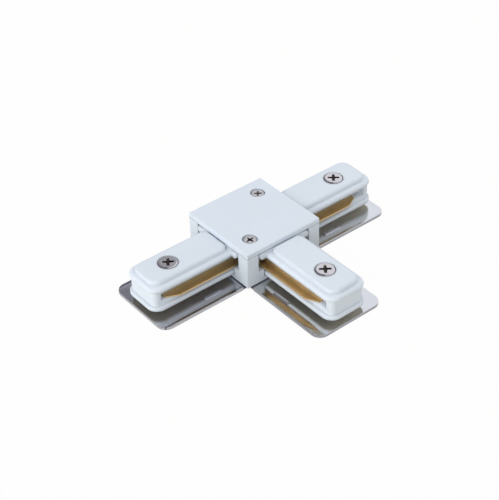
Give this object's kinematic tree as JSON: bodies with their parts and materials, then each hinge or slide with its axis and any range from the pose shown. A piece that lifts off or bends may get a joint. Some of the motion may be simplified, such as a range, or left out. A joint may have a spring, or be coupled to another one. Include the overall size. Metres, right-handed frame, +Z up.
{
  "type": "lighting track connector",
  "caption": "T-shaped connector that joins three lengths of single-circuit lighting track: square hub, white arms with brass side contacts, and steel clamp plates drawn up by screws.",
  "frame": {"origin": "middle of the hub's square foot", "axes": "+Z up through the lid; the left and right arms lie along -X and +X, the stem arm points along -Y; the closed side of the hub faces +Y"},
  "size_m": [0.1088, 0.0719, 0.0169],
  "materials": {
    "white_moulding": "satin",
    "brass_strip": "rolled",
    "insulating_card": "pressed fibre",
    "polished_steel": "polished",
    "plated_screw": "nickel plated"
  },
  "bodies": {
    "connector": {"hub_housing": "white_moulding", "hub_lid": "white_moulding", "lid_screws": "plated_screw", "line_link": "brass_strip", "neutral_link": "brass_strip", "insulating_card": "insulating_card", "left_arm": "white_moulding", "left_line_blade": "brass_strip", "left_neutral_blade": "brass_strip", "right_arm": "white_moulding", "right_line_blade": "brass_strip", "right_neutral_blade": "brass_strip", "stem_arm": "white_moulding", "stem_line_blade": "brass_strip", "stem_neutral_blade": "brass_strip"},
    "left_plate": {"left_clamp_plate": "polished_steel"},
    "left_screw": {"left_clamp_screw": "plated_screw"},
    "right_plate": {"right_clamp_plate": "polished_steel"},
    "right_screw": {"right_clamp_screw": "plated_screw"},
    "stem_plate": {"stem_clamp_plate": "polished_steel"},
    "stem_screw": {"stem_clamp_screw": "plated_screw"}
  },
  "joints": [
    {"name": "left_screw_turn", "type": "hinge", "parent": "connector", "child": "left_screw", "pos_m": [-0.0401, 0, 0.012], "axis": [0, 0, -1], "range_deg": [0, 1080]},
    {"name": "left_plate_lift", "type": "slide", "parent": "connector", "child": "left_plate", "axis": [0, 0, 1], "range_m": [0, 0.0021]},
    {"name": "right_screw_turn", "type": "hinge", "parent": "connector", "child": "right_screw", "pos_m": [0.0401, 0, 0.012], "axis": [0, 0, -1], "range_deg": [0, 1080]},
    {"name": "right_plate_lift", "type": "slide", "parent": "connector", "child": "right_plate", "axis": [0, 0, 1], "range_m": [0, 0.0021]},
    {"name": "stem_screw_turn", "type": "hinge", "parent": "connector", "child": "stem_screw", "pos_m": [0, -0.0401, 0.012], "axis": [0, 0, -1], "range_deg": [0, 1080]},
    {"name": "stem_plate_lift", "type": "slide", "parent": "connector", "child": "stem_plate", "axis": [0, 0, 1], "range_m": [0, 0.0021]}
  ],
  "couplings": [
    {"joint": "left_screw_turn", "follows": "left_plate_lift", "rad_per_m": 8975.9},
    {"joint": "right_screw_turn", "follows": "right_plate_lift", "rad_per_m": 8975.9},
    {"joint": "stem_screw_turn", "follows": "stem_plate_lift", "rad_per_m": 8975.9}
  ]
}
